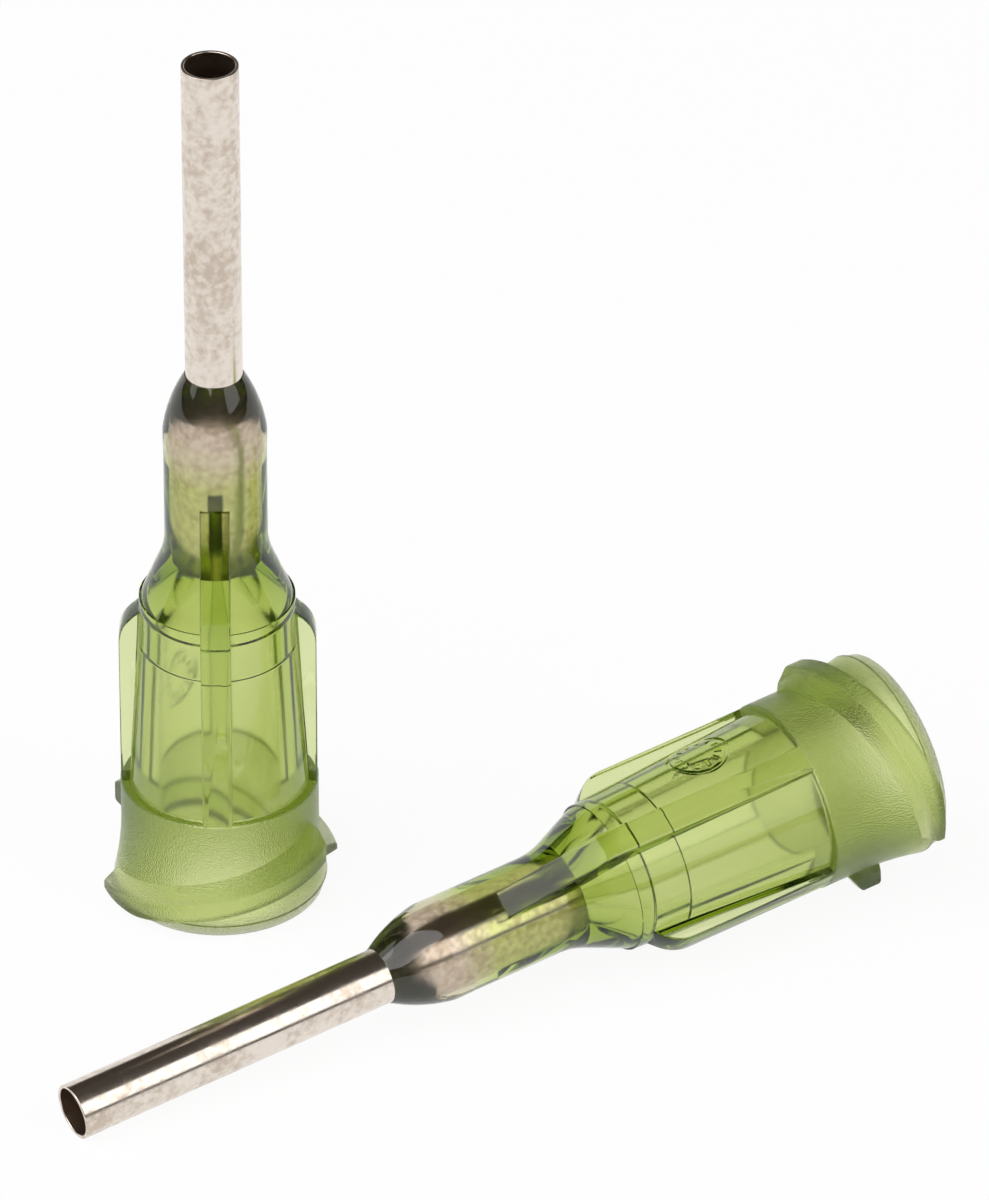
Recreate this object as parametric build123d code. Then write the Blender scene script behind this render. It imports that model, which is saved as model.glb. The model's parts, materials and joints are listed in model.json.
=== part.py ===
from build123d import *
import math
import os

# A pair of blunt dispensing tips, in millimetres. One stands on its luer mouth at the origin, with its
# axis along +Z and its base face at z = 0. Its twin lies beside it on the same surface.
# Each tip is three pieces: a moulded hub, a steel cannula, and the adhesive that bonds the two.
# Heights along a tip's own axis are stacked up from the base face.

# Whole tip
TIP_HEIGHT = 30.56           # base face to the cannula's mouth

# Hub, outside
RIM_SETBACK = 0.11           # plain round rim below the thread, in from the skirt's foot
RIM_HEIGHT = 0.40
SKIRT_RADIUS = 3.44          # foot of the flared skirt
SKIRT_HEIGHT = 2.25
SKIRT_HOLLOW = 0.06          # how far the skirt's side bows inwards
COLLAR_RADIUS = 3.19
COLLAR_HEIGHT = 1.46
BODY_FOOT_RADIUS = 2.92      # tapered body, above the collar's ledge
BODY_TOP_RADIUS = 2.50
BODY_HEIGHT = 6.86
SHOULDER_STEP = 0.05         # fine step where the shoulder starts
SHOULDER_SLOPE = 22.8        # degrees between the shoulder's side and the axis
SHOULDER_BLEND = 2.6         # radius of the hollow between shoulder and neck
NECK_RADIUS = 1.65
NECK_HEIGHT = 5.73           # from the body's top to the neck's mouth
COLLAR_EDGE = 0.06           # small rounded edge of the collar's ledge

# Hub, luer socket: the standard female 6 percent taper
LUER_MOUTH_RADIUS = 2.135
LUER_TAPER = 0.03            # radius lost for each millimetre of depth
LUER_DEPTH = 8.95
LUER_LEAD_IN = 0.12          # chamfer at the mouth
RELIEF_STEP = 0.12           # ledge at the end of the taper
RELIEF_DEPTH = 1.25
FUNNEL_STEP = 0.20           # ledge at the top of the relief
FUNNEL_LENGTH = 1.65
SEAT_LAND = 0.30             # ring that the cannula's end stands on
MOULD_DRAFT = 0.02           # how much a straight hole opens over its length, to leave its core pin

# Hub, ribs
RIB_THICKNESS = 0.96
RIB_SETBACK = 0.03           # outer face of every rib, in from the collar's side
SHORT_RIB_CORNER = -1.02     # height of a short rib's outer corner, from the body's top
SHORT_RIB_END = 0.38         # height at which its slope meets the shoulder, from the body's top
SHORT_RIB_ROUND = 1.3
TALL_RIB_CORNER = 0.83       # height of a tall rib's outer corner, from the body's top
TALL_RIB_END = 1.60          # how far below the neck's mouth it ends
TALL_RIB_STAND = 0.07        # how proud of the neck it still is there
TALL_RIB_ROUND = 0.4
RIB_ROOT = 0.45              # how deep each rib is rooted in the wall

# Hub, luer lock thread: two starts, right handed
THREAD_LEAD = 5.0
THREAD_STARTS = 2
THREAD_DEPTH = 0.46          # crest, out from the skirt's foot
THREAD_LAND = 0.70           # width of the crest
THREAD_ROOT = 0.30           # how deep the ridge is rooted in the skirt
THREAD_LOWER_FLANK = 0.12    # extra width of the root, below and above the land
THREAD_UPPER_FLANK = 0.42
THREAD_FIRST_ANGLE = 191.0   # where the first ridge starts, in degrees from +X
THREAD_SPAN = 146.0          # degrees that each ridge covers
THREAD_FOOT = -0.13          # height of the crest's lower edge at the ridge's start

# Hub, plain round mould mark, recessed in the body's side
MARK_RADIUS = 1.05
MARK_DEPTH = 0.07
MARK_HEIGHT = 6.8
MARK_ANGLE = 135.0

# Hub, well that holds the adhesive around the cannula
WELL_MOUTH_WALL = 0.15       # what is left of the neck's wall at the mouth
WELL_FLOOR_WIDTH = 0.285     # ring of floor around the cannula
WELL_DEPTH = 0.98

# Cannula, 14 gauge stainless tube
CANNULA_RADIUS = 0.915
CANNULA_BORE_RADIUS = 0.800
CANNULA_EDGE = 0.03          # deburred edges at the mouth
ENTRY_TAPER = 0.02           # the bonded length narrows this much to its inner end, to enter the hub

# Adhesive
BEAD_LIP = 0.01              # how far it stands out over the neck's mouth
BEAD_BAND = 0.58             # straight side above the neck's mouth
BEAD_LENGTH = 1.98           # nose, from the band to where it thins out on the cannula
BEAD_BULGE = 0.105           # how far the nose's side bows outwards
BEAD_FEATHER = 0.02          # thickness at the nose's tip

# Clearances
SOCKET_CLEARANCE = 0.015     # cannula in the hub's bore
BOND_GAP = 0.005             # adhesive to what it fills, so that no two solids overlap
REST_CLEARANCE = 0.006       # lying twin over the surface, at its lowest crest

# Lying twin
TWIN_PLACE = (21.62, 1.31)   # its base's centre, over the surface
TWIN_HEADING = 211.14        # way its cannula points, in degrees from +X
TWIN_ROLL = -33.7            # turn of its marked side's tall rib away from straight up

# Heights along the tip's own axis
COLLAR_FOOT_Z = RIM_HEIGHT + SKIRT_HEIGHT
COLLAR_TOP_Z = COLLAR_FOOT_Z + COLLAR_HEIGHT
BODY_TOP_Z = COLLAR_TOP_Z + BODY_HEIGHT
NECK_TOP_Z = BODY_TOP_Z + NECK_HEIGHT
RELIEF_TOP_Z = LUER_DEPTH + RELIEF_DEPTH
FUNNEL_TOP_Z = RELIEF_TOP_Z + FUNNEL_LENGTH
SEAT_Z = FUNNEL_TOP_Z + SEAT_LAND
SHORT_RIB_CORNER_Z = BODY_TOP_Z + SHORT_RIB_CORNER
SHORT_RIB_END_Z = BODY_TOP_Z + SHORT_RIB_END
TALL_RIB_CORNER_Z = BODY_TOP_Z + TALL_RIB_CORNER
TALL_RIB_END_Z = NECK_TOP_Z - TALL_RIB_END
WELL_FLOOR_Z = NECK_TOP_Z - WELL_DEPTH
BEAD_BAND_Z = NECK_TOP_Z + BEAD_BAND
BEAD_TOP_Z = BEAD_BAND_Z + BEAD_LENGTH

# Radii that follow from others
RIM_RADIUS = SKIRT_RADIUS - RIM_SETBACK
THREAD_CREST_RADIUS = SKIRT_RADIUS + THREAD_DEPTH
RIB_REACH = COLLAR_RADIUS - RIB_SETBACK
SOCKET_RADIUS = CANNULA_RADIUS + SOCKET_CLEARANCE
LUER_END_RADIUS = LUER_MOUTH_RADIUS - LUER_TAPER * LUER_DEPTH
RELIEF_RADIUS = LUER_END_RADIUS - RELIEF_STEP
RELIEF_TOP_RADIUS = RELIEF_RADIUS - MOULD_DRAFT
FUNNEL_RADIUS = RELIEF_TOP_RADIUS - FUNNEL_STEP
SHOULDER_RADIUS = BODY_TOP_RADIUS - SHOULDER_STEP
WELL_MOUTH_RADIUS = NECK_RADIUS - WELL_MOUTH_WALL
WELL_FLOOR_RADIUS = CANNULA_RADIUS + WELL_FLOOR_WIDTH
BEAD_RADIUS = NECK_RADIUS + BEAD_LIP


def turned(*profile):
    """Return the solid that a closed profile of (radius, height) pieces makes about the axis."""
    face = make_face(Curve() + [Plane.XZ * piece for piece in profile])
    return revolve(face, Axis.Z)


def cannula_radius(height):
    """Return the cannula's outer radius at a height along its tapered, bonded length."""
    share = (BEAD_TOP_Z - height) / (BEAD_TOP_Z - SEAT_Z)
    return CANNULA_RADIUS - share * ENTRY_TAPER


def body_radius(height):
    """Return the tapered body's outer radius at a height."""
    share = (height - COLLAR_TOP_Z) / BODY_HEIGHT
    return BODY_FOOT_RADIUS + share * (BODY_TOP_RADIUS - BODY_FOOT_RADIUS)


def hub_outside():
    """Return the hub's turned outer form, solid right through."""
    slope = math.tan(math.radians(SHOULDER_SLOPE))
    blend_z = BODY_TOP_Z + (SHOULDER_RADIUS - NECK_RADIUS) / slope
    side = FilletPolyline(
        (SHOULDER_RADIUS, BODY_TOP_Z),
        (NECK_RADIUS, blend_z),
        (NECK_RADIUS, NECK_TOP_Z),
        radius=SHOULDER_BLEND,
    )
    skirt = SagittaArc((SKIRT_RADIUS, RIM_HEIGHT), (COLLAR_RADIUS, COLLAR_FOOT_Z), SKIRT_HOLLOW)
    below = Polyline((0, 0), (RIM_RADIUS, 0), (RIM_RADIUS, RIM_HEIGHT), (SKIRT_RADIUS, RIM_HEIGHT))
    collar = FilletPolyline(
        (COLLAR_RADIUS, COLLAR_FOOT_Z),
        (COLLAR_RADIUS, COLLAR_TOP_Z),
        (BODY_FOOT_RADIUS, COLLAR_TOP_Z),
        radius=COLLAR_EDGE,
    )
    body = Polyline(
        (BODY_FOOT_RADIUS, COLLAR_TOP_Z), (BODY_TOP_RADIUS, BODY_TOP_Z), (SHOULDER_RADIUS, BODY_TOP_Z)
    )
    top = Polyline((NECK_RADIUS, NECK_TOP_Z), (0, NECK_TOP_Z), (0, 0))
    return turned(below, skirt, collar, body, side, top)


def hub_passage():
    """Return everything that is hollow in the hub: socket, relief, funnel, cannula bore and well."""
    lead_in_radius = LUER_MOUTH_RADIUS - LUER_TAPER * LUER_LEAD_IN
    return turned(Polyline(
        (0, 0),
        (LUER_MOUTH_RADIUS + LUER_LEAD_IN, 0),
        (lead_in_radius, LUER_LEAD_IN),
        (LUER_END_RADIUS, LUER_DEPTH),
        (RELIEF_RADIUS, LUER_DEPTH),
        (RELIEF_TOP_RADIUS, RELIEF_TOP_Z),
        (FUNNEL_RADIUS, RELIEF_TOP_Z),
        (CANNULA_BORE_RADIUS, FUNNEL_TOP_Z),
        (CANNULA_BORE_RADIUS, SEAT_Z),
        (SOCKET_RADIUS, SEAT_Z),
        (SOCKET_RADIUS + MOULD_DRAFT, WELL_FLOOR_Z),
        (WELL_FLOOR_RADIUS, WELL_FLOOR_Z),
        (WELL_MOUTH_RADIUS, NECK_TOP_Z),
        (0, NECK_TOP_Z),
        (0, 0),
    ))


def rib(angle, corner_z, end_radius, end_z, rounding):
    """Return one rib that stands along the body, slopes in from its corner, and ends at end_z."""
    root_radius = body_radius(COLLAR_TOP_Z) - RIB_ROOT
    outer = FilletPolyline(
        (RIB_REACH, COLLAR_FOOT_Z), (RIB_REACH, corner_z), (end_radius, end_z), radius=rounding
    )
    inner = Polyline(
        (end_radius, end_z),
        (NECK_RADIUS - RIB_ROOT, end_z),
        (NECK_RADIUS - RIB_ROOT, BODY_TOP_Z),
        (root_radius, COLLAR_FOOT_Z),
        (RIB_REACH, COLLAR_FOOT_Z),
    )
    face = make_face(Plane.XZ * (Curve() + [outer, inner]))
    return Rot(0, 0, angle) * extrude(face, RIB_THICKNESS / 2, both=True)


def thread_ridge(start_angle):
    """Return one start of the thread, cut off level with the rim's top."""
    rise = THREAD_LEAD * THREAD_SPAN / 360
    root_radius = SKIRT_RADIUS - THREAD_ROOT
    crest_z = THREAD_FOOT + THREAD_LAND / 2
    path = Helix(THREAD_LEAD, rise, root_radius, center=(0, 0, crest_z))
    depth = THREAD_CREST_RADIUS - root_radius
    land = THREAD_LAND / 2
    section = Polygon(
        (0, -land - THREAD_LOWER_FLANK),
        (depth, -land),
        (depth, land),
        (0, land + THREAD_UPPER_FLANK),
        align=None,
    )
    start = Plane(origin=path @ 0, x_dir=(1, 0, 0), z_dir=(0, -1, 0))
    ridge = sweep(start * section, path=path, is_frenet=True)
    above = Pos(0, 0, RIM_HEIGHT) * Cylinder(
        THREAD_CREST_RADIUS + 1, THREAD_LEAD, align=(Align.CENTER, Align.CENTER, Align.MIN)
    )
    return Rot(0, 0, start_angle) * (ridge & above)


def mould_mark():
    """Return the shallow round recess in the body's side."""
    floor_radius = body_radius(MARK_HEIGHT) - MARK_DEPTH
    recess = Cylinder(MARK_RADIUS, RIB_REACH, align=(Align.CENTER, Align.CENTER, Align.MIN))
    return Rot(0, 0, MARK_ANGLE) * Pos(floor_radius, 0, MARK_HEIGHT) * Rot(0, 90, 0) * recess


def make_hub():
    """Return the moulded hub, in the tip's own frame."""
    hub = hub_outside() - mould_mark()
    tall_end_radius = NECK_RADIUS + TALL_RIB_STAND
    for side in (0, 180):
        hub += rib(side, SHORT_RIB_CORNER_Z, NECK_RADIUS, SHORT_RIB_END_Z, SHORT_RIB_ROUND)
        hub += rib(side + 90, TALL_RIB_CORNER_Z, tall_end_radius, TALL_RIB_END_Z, TALL_RIB_ROUND)
    for start in range(THREAD_STARTS):
        hub += thread_ridge(THREAD_FIRST_ANGLE + start * 360 / THREAD_STARTS)
    return hub - hub_passage()


def make_cannula():
    """Return the steel tube, standing on the hub's seat."""
    return turned(Polyline(
        (CANNULA_BORE_RADIUS, SEAT_Z),
        (cannula_radius(SEAT_Z), SEAT_Z),
        (CANNULA_RADIUS, BEAD_TOP_Z),
        (CANNULA_RADIUS, TIP_HEIGHT - CANNULA_EDGE),
        (CANNULA_RADIUS - CANNULA_EDGE, TIP_HEIGHT),
        (CANNULA_BORE_RADIUS + CANNULA_EDGE, TIP_HEIGHT),
        (CANNULA_BORE_RADIUS, TIP_HEIGHT - CANNULA_EDGE),
        (CANNULA_BORE_RADIUS, SEAT_Z),
    ))


def make_adhesive():
    """Return the cured adhesive: a plug in the well, a band and a nose that thins out on the tube."""
    floor_z = WELL_FLOOR_Z + BOND_GAP
    mouth_z = NECK_TOP_Z + BOND_GAP
    floor_inner = cannula_radius(floor_z) + BOND_GAP
    top_inner = CANNULA_RADIUS + BOND_GAP
    plug = Polyline(
        (floor_inner, floor_z),
        (WELL_FLOOR_RADIUS - BOND_GAP, floor_z),
        (WELL_MOUTH_RADIUS - BOND_GAP, mouth_z),
        (BEAD_RADIUS, mouth_z),
        (BEAD_RADIUS, BEAD_BAND_Z),
    )
    feather = (top_inner + BEAD_FEATHER, BEAD_TOP_Z)
    nose = SagittaArc((BEAD_RADIUS, BEAD_BAND_Z), feather, -BEAD_BULGE)
    bore = Polyline(feather, (top_inner, BEAD_TOP_Z), (floor_inner, floor_z))
    return turned(plug, nose, bore)


def crest_height(angle):
    """Return the height of the crest's upper edge at an angle that the first ridge covers."""
    return THREAD_FOOT + THREAD_LAND + THREAD_LEAD * (angle - THREAD_FIRST_ANGLE) / 360


def twin_plane(hub):
    """Return the lying twin's own frame: its hub rests on a thread crest, and the cannula on its mouth."""
    lowest_angle = 270 - TWIN_ROLL
    touch_z = crest_height(lowest_angle)
    slope = math.atan2(THREAD_CREST_RADIUS - CANNULA_RADIUS, TIP_HEIGHT - touch_z)
    heading = Vector(1, 0, 0).rotate(Axis.Z, TWIN_HEADING)
    axis = heading * math.cos(slope) - Vector(0, 0, 1) * math.sin(slope)
    upward = heading * math.sin(slope) + Vector(0, 0, 1) * math.cos(slope)
    rib_way = upward.rotate(Axis((0, 0, 0), axis), TWIN_ROLL)
    sunk = Plane(origin=(*TWIN_PLACE, 0), x_dir=rib_way.cross(axis), z_dir=axis)
    lowest = (sunk.location * hub).bounding_box().min.Z
    return Plane(origin=(*TWIN_PLACE, REST_CLEARANCE - lowest), x_dir=sunk.x_dir, z_dir=axis)


os.makedirs("parts", exist_ok=True)
pieces = {"hub": make_hub(), "cannula": make_cannula(), "adhesive": make_adhesive()}
places = {"standing": Plane.XY, "lying": twin_plane(pieces["hub"])}
for tip, place in places.items():
    for piece, solid in pieces.items():
        export_step(place.location * solid, f"parts/{tip}_{piece}.step")
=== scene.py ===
"""A pair of blunt dispensing tips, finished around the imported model.

Each tip is a moulded hub, a steel cannula and the cured adhesive that bonds the two. The tips are twins, so
each piece is modelled once, about the Z axis with one unit to the millimetre, and a copy goes to each place.
"""

import json
import logging
import math
from collections.abc import Callable, Iterator, Sequence
from contextlib import contextmanager
from dataclasses import dataclass, field
from enum import Enum

import bpy
from mathutils import Matrix, Vector


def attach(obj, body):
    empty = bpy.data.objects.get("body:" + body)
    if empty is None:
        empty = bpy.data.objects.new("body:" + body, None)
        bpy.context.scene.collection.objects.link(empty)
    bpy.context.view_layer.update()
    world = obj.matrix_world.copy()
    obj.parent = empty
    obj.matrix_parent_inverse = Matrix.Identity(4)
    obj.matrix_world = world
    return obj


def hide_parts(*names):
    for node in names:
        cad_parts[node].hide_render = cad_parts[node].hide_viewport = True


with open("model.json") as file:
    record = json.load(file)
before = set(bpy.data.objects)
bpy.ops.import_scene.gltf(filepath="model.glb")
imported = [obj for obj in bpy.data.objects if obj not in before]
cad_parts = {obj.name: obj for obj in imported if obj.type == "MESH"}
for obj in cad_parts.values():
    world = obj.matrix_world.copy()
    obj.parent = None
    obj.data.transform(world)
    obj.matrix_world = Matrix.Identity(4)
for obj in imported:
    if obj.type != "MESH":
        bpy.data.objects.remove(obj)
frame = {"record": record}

log = logging.getLogger("dispensing_tips")

MILLIMETRE = 0.001  # metres
TURN_STEPS = 180  # faces around a turned piece
ARC_STEP = math.radians(6)  # turn of an outline's arc from one point to the next
BOW_STEPS = 12  # faces along a bowed side
SMOOTH_ANGLE = math.radians(30)  # edges that turn less than this are shaded smooth
MERGE_DISTANCE = 1e-5  # millimetres between points that are one
LIES_FLAT = 0.9  # a face lies flat if its normal's rise is past this
STANDS_UPRIGHT = 0.5  # a face stands upright if its normal's rise is under this

Point = tuple[float, float]
FaceTest = Callable[[Vector, Vector], float]  # from a face's centre and normal


class Tip(Enum):
    """The two tips, by the name that their CAD nodes and body start with."""

    STANDING = "standing"
    LYING = "lying"


class Mark(Enum):
    """Face attributes that the finishes read."""

    MATT = "matt"  # the face's roughness
    BONDED = "bonded"  # 1 where the adhesive wets it


def linear(colour: str) -> tuple[float, float, float, float]:
    """Turn a colour from sRGB to linear light.

    Args:
        colour: Six hex digits after a hash sign.

    Returns:
        Red, green, blue and an alpha of 1.
    """
    shares = [int(colour[i : i + 2], 16) / 255 for i in (1, 3, 5)]
    return (*(c / 12.92 if c <= 0.04045 else ((c + 0.055) / 1.055) ** 2.4 for c in shares), 1.0)


# ---------------------------------------------------------------- modelling


def deselect_all() -> None:
    """Deselect every object, so that the next primitive is selected alone."""
    bpy.ops.object.select_all(action="DESELECT")


def select_only(piece: bpy.types.Object) -> None:
    """Select one object alone and make it active.

    Args:
        piece: The object to select.
    """
    deselect_all()
    piece.select_set(True)
    bpy.context.view_layer.objects.active = piece


@contextmanager
def editing(piece: bpy.types.Object, mode: str = "VERT") -> Iterator[None]:
    """Open a piece in edit mode, and close it again at the end.

    Args:
        piece: The object to edit.
        mode: What a selection is made of: VERT, EDGE or FACE.

    Yields:
        Nothing. The piece is open until the block ends.
    """
    select_only(piece)
    bpy.ops.object.mode_set(mode="EDIT")
    bpy.ops.mesh.select_mode(type=mode)
    yield
    bpy.ops.object.mode_set(mode="OBJECT")


@dataclass(frozen=True)
class Corner:
    """One corner of an outline, in millimetres.

    Args:
        radius: Distance from the axis.
        height: Height along the axis.
        rounding: Radius of the arc that takes the corner's place.
        bow: How far the side after this corner bows out to its right.
    """

    radius: float
    height: float
    rounding: float = 0.0
    bow: float = 0.0


def arc_points(corner: Vector, before: Vector, after: Vector, rounding: float) -> list[Vector]:
    """Round one corner of an outline.

    Args:
        corner: The corner itself.
        before: The outline's corner before it.
        after: The outline's corner after it.
        rounding: Radius of the arc.

    Returns:
        The arc's points, from the side before to the side after.
    """
    way_back = (before - corner).normalized()
    way_on = (after - corner).normalized()
    half = way_back.angle(way_on) / 2
    reach = rounding / math.tan(half)
    centre = corner + (way_back + way_on).normalized() * (rounding / math.sin(half))
    start = corner + way_back * reach - centre
    end = corner + way_on * reach - centre
    steps = max(2, math.ceil(start.angle(end) / ARC_STEP))
    return [centre + start.slerp(end, i / steps).normalized() * rounding for i in range(steps + 1)]


def bow_points(start: Vector, end: Vector, bow: float) -> list[Vector]:
    """Bow out one side of an outline, as a parabola.

    Args:
        start: The side's first corner.
        end: Its last corner.
        bow: How far it bows out to its right.

    Returns:
        The points between the two corners.
    """
    side = end - start
    right = Vector((side.y, -side.x)).normalized()
    shares = [i / BOW_STEPS for i in range(1, BOW_STEPS)]
    return [start + side * s + right * (4 * bow * s * (1 - s)) for s in shares]


def outline(corners: Sequence[Corner]) -> list[Point]:
    """Turn corners into an outline's points.

    Args:
        corners: The corners in order. After the last comes the first again.

    Returns:
        Points of (radius, height).
    """
    places = [Vector((c.radius, c.height)) for c in corners]
    points: list[Vector] = []
    for i, corner in enumerate(corners):
        following = places[(i + 1) % len(places)]
        if corner.rounding:
            points += arc_points(places[i], places[i - 1], following, corner.rounding)
        else:
            points.append(places[i])
        if corner.bow:
            points += bow_points(places[i], following, corner.bow)
    return [(p.x, p.y) for p in points]


def draw_wire(name: str, points: Sequence[Point], closed: bool) -> bpy.types.Object:
    """Draw an outline in the XZ plane, by extruding one vertex from point to point.

    Args:
        name: The new object's name.
        points: The outline's points of (x, z).
        closed: True if the last point is joined to the first.

    Returns:
        A mesh object of edges alone, with its origin on the axis.
    """
    route = [*points, points[0]] if closed else list(points)
    deselect_all()
    bpy.ops.mesh.primitive_plane_add(size=1)
    wire = bpy.context.active_object
    wire.name = name
    with editing(wire):
        bpy.ops.mesh.select_all(action="SELECT")
        bpy.ops.mesh.merge(type="CENTER")
        bpy.ops.transform.translate(value=(route[0][0], 0, route[0][1]))
        for (x, z), (next_x, next_z) in zip(route, route[1:]):
            step = (next_x - x, 0, next_z - z)
            bpy.ops.mesh.extrude_vertices_move(TRANSFORM_OT_translate={"value": step})
        bpy.ops.mesh.select_all(action="SELECT")
        bpy.ops.mesh.remove_doubles(threshold=MERGE_DISTANCE)
    return wire


def close_and_turn_out(piece: bpy.types.Object) -> None:
    """Merge a piece's doubled points and make its faces point outwards.

    Args:
        piece: A closed mesh object.
    """
    with editing(piece):
        bpy.ops.mesh.select_all(action="SELECT")
        bpy.ops.mesh.remove_doubles(threshold=MERGE_DISTANCE)
        bpy.ops.mesh.normals_make_consistent(inside=False)


def turned(name: str, corners: Sequence[Corner], closed: bool) -> bpy.types.Object:
    """Spin an outline about the Z axis.

    Args:
        name: The new object's name.
        corners: The outline's corners, anticlockwise with the radius to the right.
        closed: True for a ring. False for a solid whose outline starts and ends on the axis.

    Returns:
        A closed mesh object.
    """
    piece = draw_wire(name, outline(corners), closed)
    with editing(piece):
        bpy.ops.mesh.select_all(action="SELECT")
        bpy.ops.mesh.spin(steps=TURN_STEPS, angle=math.tau, center=(0, 0, 0), axis=(0, 0, 1))
    close_and_turn_out(piece)
    return piece


def apply_modifier(piece: bpy.types.Object, kind: str, **settings: object) -> None:
    """Add one modifier to a piece, set it and apply it.

    Args:
        piece: The object to change.
        kind: The modifier's type, such as BOOLEAN.
        settings: The modifier's properties.
    """
    select_only(piece)
    modifier = piece.modifiers.new(kind.lower(), kind)
    for name, value in settings.items():
        setattr(modifier, name, value)
    bpy.ops.object.modifier_apply(modifier=modifier.name)


def combine(piece: bpy.types.Object, operation: str, tools: Sequence[bpy.types.Object]) -> None:
    """Unite a piece with other closed meshes, or cut them from it, and remove them.

    Args:
        piece: The object to change.
        operation: UNION or DIFFERENCE.
        tools: Closed meshes that don't overlap each other.
    """
    select_only(tools[0])
    for tool in tools[1:]:
        tool.select_set(True)
    if len(tools) > 1:
        bpy.ops.object.join()
    apply_modifier(piece, "BOOLEAN", operation=operation, object=tools[0], solver="MANIFOLD")
    bpy.data.objects.remove(tools[0])


def around_axis(radius: float, degrees: float) -> Vector:
    """Return the point at a distance from the Z axis and an angle from +X."""
    return Matrix.Rotation(math.radians(degrees), 3, "Z") @ Vector((radius, 0, 0))


def turn_about_axis(piece: bpy.types.Object, degrees: float) -> None:
    """Turn a piece's mesh about the Z axis.

    Args:
        piece: The object to turn, with its origin on the axis.
        degrees: The angle, anticlockwise from above.
    """
    select_only(piece)
    piece.rotation_euler.z = math.radians(degrees)
    bpy.ops.object.transform_apply(location=False, rotation=True, scale=False)


def mark_faces(piece: bpy.types.Object, mark: Mark, test: FaceTest) -> None:
    """Write a face attribute.

    Args:
        piece: The object whose faces are marked.
        mark: The attribute.
        test: Gives the mark's value from a face's centre and normal.
    """
    attribute = piece.data.attributes.new(mark.value, "FLOAT", "FACE")
    for face in piece.data.polygons:
        attribute.data[face.index].value = float(test(face.center, face.normal))


# ---------------------------------------------------------------- places


@dataclass(frozen=True)
class Placement:
    """Where a tip's own frame lies.

    Args:
        origin: Centre of the hub's base face, in metres.
        axis: Way from the base to the cannula's mouth.
        rib_way: Way that the tall rib on the marked side faces.
    """

    origin: Vector
    axis: Vector
    rib_way: Vector

    @classmethod
    def of(cls, tip: Tip, roll: float) -> "Placement":
        """Read a tip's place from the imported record.

        Args:
            tip: Which tip.
            roll: Turn in degrees of the marked side's tall rib about the axis, from as upright as it can be.

        Returns:
            The tip's placement.
        """
        mounts = {mount["name"]: mount for mount in frame["record"]["mounts"]}
        axis = Vector(mounts[f"{tip.value}_outlet"]["axis"]).normalized()
        highest = Vector((0, 0, 1)) if tip is Tip.LYING else Vector((0, 1, 0))
        upward = (highest - axis * highest.dot(axis)).normalized()
        rib_way = Matrix.Rotation(math.radians(roll), 3, axis) @ upward
        return cls(Vector(mounts[f"{tip.value}_luer_face"]["pos_m"]), axis, rib_way)

    def matrix(self) -> Matrix:
        """Return the turn and shift from the tip's own frame to the object's."""
        columns = Matrix((self.rib_way.cross(self.axis), self.rib_way, self.axis)).transposed()
        return Matrix.Translation(self.origin) @ columns.to_4x4()

    def set_down(self, model: bpy.types.Object, name: str) -> bpy.types.Object:
        """Copy a model that is in millimetres to this place.

        Args:
            model: The piece in its own frame.
            name: The copy's name.

        Returns:
            The copy, with its own mesh and its place in it.
        """
        copy = model.copy()
        copy.data = model.data.copy()
        copy.name = copy.data.name = name
        bpy.context.scene.collection.objects.link(copy)
        copy.matrix_world = self.matrix() @ Matrix.Scale(MILLIMETRE, 4)
        select_only(copy)
        bpy.ops.object.transform_apply(location=True, rotation=True, scale=True)
        bpy.ops.object.shade_smooth_by_angle(angle=SMOOTH_ANGLE)
        return copy


# ---------------------------------------------------------------- finishes


def add_node(
    tree: bpy.types.NodeTree, kind: str, sockets: dict[str | int, object] | None = None, **settings: object
) -> bpy.types.Node:
    """Add one node, set it and link it.

    Args:
        tree: The tree that gets the node.
        kind: The node's type.
        sockets: Values for its input sockets by name or number, or output sockets to link them to.
        settings: The node's own properties.

    Returns:
        The new node.
    """
    node = tree.nodes.new(kind)
    for name, value in settings.items():
        setattr(node, name, value)
    for key, value in (sockets or {}).items():
        if isinstance(value, bpy.types.NodeSocket):
            tree.links.new(value, node.inputs[key])
        else:
            node.inputs[key].default_value = value
    return node


def new_tree(name: str) -> tuple[bpy.types.Material, bpy.types.NodeTree]:
    """Start a material.

    Args:
        name: The material's name.

    Returns:
        The material and its emptied node tree.
    """
    material = bpy.data.materials.new(name)
    material.use_nodes = True
    material.node_tree.nodes.clear()
    return material, material.node_tree


def per_metre(size: float) -> float:
    """Return the texture scale that gives a pattern a size in millimetres."""
    return 1 / (size * MILLIMETRE)


def own_coordinates(tree: bpy.types.NodeTree, place: Placement) -> bpy.types.NodeSocket:
    """Turn Object coordinates into a tip's own frame, so that a pattern follows its axis.

    Args:
        tree: The material's tree.
        place: Where the tip lies.

    Returns:
        The socket that gives the point in the tip's own frame, in metres.
    """
    inverse = place.matrix().inverted()
    point = add_node(tree, "ShaderNodeTexCoord").outputs["Object"]
    sockets = {"Vector": point, "Location": inverse.translation, "Rotation": inverse.to_euler()}
    return add_node(tree, "ShaderNodeMapping", sockets).outputs["Vector"]


def open_share(tree: bpy.types.NodeTree) -> bpy.types.NodeSocket:
    """Return the socket that gives 0 on a bonded face, where light passes straight on, and 1 elsewhere."""
    bonded = add_node(tree, "ShaderNodeAttribute", attribute_name=Mark.BONDED.value).outputs["Fac"]
    return add_node(tree, "ShaderNodeMath", {0: 1.0, 1: bonded}, operation="SUBTRACT").outputs[0]


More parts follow.
